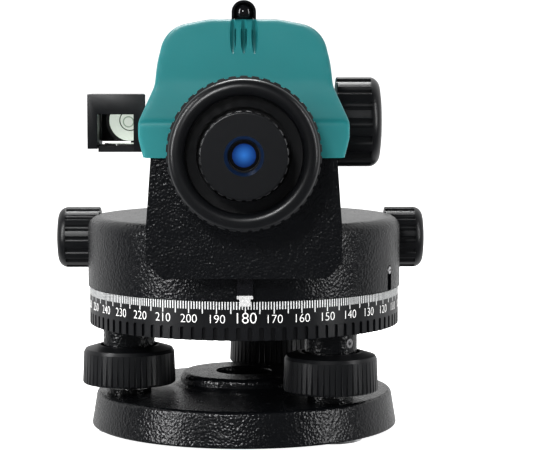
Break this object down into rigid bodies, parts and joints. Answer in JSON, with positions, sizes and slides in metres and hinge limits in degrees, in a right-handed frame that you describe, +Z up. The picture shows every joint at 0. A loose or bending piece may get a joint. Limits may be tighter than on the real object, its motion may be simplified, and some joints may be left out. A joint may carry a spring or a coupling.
{
  "type": "automatic level",
  "caption": "Surveyor's automatic level: telescope with compensator and focus knob on a drum with a graduated circle, endless tangent drive and a three-footscrew levelling base.",
  "frame": {"origin": "centre of the tripod thread at the face that rests on the tripod head", "axes": "+Z up along the vertical axis, +Y the way the telescope looks, so the eyepiece is at -Y, the focus knob at +X and the circular vial at -X"},
  "size_m": [0.1286, 0.193, 0.1449],
  "materials": {
    "black_paint": "cast aluminium with glossy black hammered paint",
    "black_anodised": "black anodised",
    "teal_plastic": "satin teal moulded plastic",
    "black_plastic": "satin black moulded plastic",
    "gloss_black": "polished black",
    "steel": "turned steel",
    "brass": "turned brass",
    "felt": "dark felt",
    "lens_glass": "polished and coated",
    "vial_glass": "glass cell with pale spirit and a bubble",
    "mirror": "front-silvered"
  },
  "bodies": {
    "base": {"base_plate": "black_paint", "spring_plate": "steel", "spring_plate_screws": "steel", "ball_retainers": "brass"},
    "seat_lower": {"ball_seat_lower_c": "brass"},
    "seat_upper": {"ball_seat_upper_c": "brass"},
    "head": {"levelling_head": "black_paint", "head_set_screws": "steel", "centre_spindle": "steel", "clutch_spring": "steel", "spindle_nut": "steel", "circle_friction_ring": "felt"},
    "circle": {"horizontal_circle": "black_anodised"},
    "clutch_wheel": {"worm_wheel": "brass"},
    "tangent": {"tangent_worm_shaft": "steel", "tangent_knob_left": "black_plastic", "tangent_knob_right": "black_plastic"},
    "focus": {"focus_knob": "black_plastic", "focus_pinion_shaft": "steel"},
    "focus_slider": {"focus_carriage": "black_anodised", "focusing_lens": "lens_glass"},
    "dioptre": {"dioptre_ring": "black_plastic"},
    "eye_cell": {"eye_lens_cell": "black_anodised", "eye_lenses": "lens_glass"},
    "pendulum": {"compensator_pendulum": "black_anodised", "pendulum_prism": "lens_glass"},
    "foot_a": {"ball_foot_a": "steel"},
    "screw_a": {"footscrew_shaft_a": "steel", "footscrew_knob_a": "black_plastic"},
    "foot_b": {"ball_foot_b": "steel"},
    "screw_b": {"footscrew_shaft_b": "steel", "footscrew_knob_b": "black_plastic"},
    "foot_c": {"ball_foot_c": "steel"},
    "screw_c": {"footscrew_shaft_c": "steel", "footscrew_knob_c": "black_plastic"},
    "alidade": {"main_housing": "black_paint", "housing_bottom_plate": "black_anodised", "reticle_holder": "black_anodised", "eyepiece_barrel": "black_anodised", "objective_cell": "black_anodised", "compensator_frame": "black_anodised", "objective_ring": "black_anodised", "top_cover": "teal_plastic", "eyepiece_cover_ring": "black_plastic", "vial_mirror_housing": "black_plastic", "sight_arch": "black_plastic", "vial_holder": "black_plastic", "sight_bead": "gloss_black", "focus_guide_rods": "steel", "index_pointer": "steel", "housing_screw": "steel", "cover_screws": "steel", "damping_magnets": "steel", "spindle_bush": "brass", "shaft_bushes": "brass", "objective_lenses": "lens_glass", "fixed_prisms": "lens_glass", "reticle_glass": "lens_glass", "circular_vial": "vial_glass", "vial_mirror": "mirror"}
  },
  "joints": [
    {"name": "tilt_a", "type": "hinge", "parent": "base", "child": "seat_lower", "pos_m": [0.01956, 0.00524, 0.0068], "axis": [-0.2588, 0.9659, 0], "range_deg": [-2.5, 2.5]},
    {"name": "tilt_b", "type": "hinge", "parent": "seat_lower", "child": "seat_upper", "pos_m": [-0.01432, 0.01432, 0.0068], "axis": [-0.7071, -0.7071, 0], "range_deg": [-2.5, 2.5]},
    {"name": "tilt_c", "type": "hinge", "parent": "seat_upper", "child": "head", "pos_m": [-0.00524, -0.01956, 0.0068], "axis": [0.9659, -0.2588, 0], "range_deg": [-2.5, 2.5]},
    {"name": "footscrew_travel_a", "type": "slide", "parent": "head", "child": "foot_a", "axis": [0, 0, -1], "range_m": [-0.00265, 0.00265]},
    {"name": "footscrew_spin_a", "type": "hinge", "parent": "foot_a", "child": "screw_a", "pos_m": [-0.03912, -0.01048, 0.02], "axis": [0, 0, -1], "range_deg": [-1360, 1360]},
    {"name": "footscrew_travel_b", "type": "slide", "parent": "head", "child": "foot_b", "axis": [0, 0, -1], "range_m": [-0.00265, 0.00265]},
    {"name": "footscrew_spin_b", "type": "hinge", "parent": "foot_b", "child": "screw_b", "pos_m": [0.02864, -0.02864, 0.02], "axis": [0, 0, -1], "range_deg": [-1360, 1360]},
    {"name": "footscrew_travel_c", "type": "slide", "parent": "head", "child": "foot_c", "axis": [0, 0, -1], "range_m": [-0.00265, 0.00265]},
    {"name": "footscrew_spin_c", "type": "hinge", "parent": "foot_c", "child": "screw_c", "pos_m": [0.01048, 0.03912, 0.02], "axis": [0, 0, -1], "range_deg": [-1360, 1360]},
    {"name": "circle_turn", "type": "hinge", "parent": "head", "child": "circle", "pos_m": [0, 0, 0.045], "axis": [0, 0, 1], "continuous": true},
    {"name": "clutch_turn", "type": "hinge", "parent": "head", "child": "clutch_wheel", "pos_m": [0, 0, 0.0634], "axis": [0, 0, 1], "continuous": true},
    {"name": "alidade_turn", "type": "hinge", "parent": "clutch_wheel", "child": "alidade", "pos_m": [0, 0, 0.06], "axis": [0, 0, 1], "continuous": true},
    {"name": "tangent_spin", "type": "hinge", "parent": "alidade", "child": "tangent", "pos_m": [0, 0.0175, 0.0634], "axis": [1, 0, 0], "continuous": true},
    {"name": "focus_spin", "type": "hinge", "parent": "alidade", "child": "focus", "pos_m": [0.03, -0.01, 0.1047], "axis": [1, 0, 0], "range_deg": [-229, 229]},
    {"name": "focus_slide", "type": "slide", "parent": "alidade", "child": "focus_slider", "axis": [0, 1, 0], "range_m": [-0.01, 0.01]},
    {"name": "dioptre_spin", "type": "hinge", "parent": "alidade", "child": "dioptre", "pos_m": [0, -0.083, 0.0965], "axis": [0, 1, 0], "range_deg": [-170, 170]},
    {"name": "dioptre_slide", "type": "slide", "parent": "alidade", "child": "eye_cell", "axis": [0, 1, 0], "range_m": [-0.0011, 0.0011]},
    {"name": "compensator_swing", "type": "hinge", "parent": "alidade", "child": "pendulum", "pos_m": [0, -0.031, 0.115], "axis": [1, 0, 0], "range_deg": [-0.5, 0.5]}
  ],
  "couplings": [
    {"joint": "tilt_a", "follows": "footscrew_spin_a", "ratio": 0.0018339},
    {"joint": "footscrew_travel_a", "follows": "footscrew_spin_a", "m_per_rad": 0.00011141},
    {"joint": "tilt_b", "follows": "footscrew_spin_b", "ratio": 0.0018339},
    {"joint": "footscrew_travel_b", "follows": "footscrew_spin_b", "m_per_rad": 0.00011141},
    {"joint": "tilt_c", "follows": "footscrew_spin_c", "ratio": 0.0018339},
    {"joint": "footscrew_travel_c", "follows": "footscrew_spin_c", "m_per_rad": 0.00011141},
    {"joint": "tangent_spin", "follows": "alidade_turn", "ratio": -60},
    {"joint": "focus_slide", "follows": "focus_spin", "m_per_rad": 0.0025},
    {"joint": "dioptre_slide", "follows": "dioptre_spin", "m_per_rad": 0.00035}
  ]
}
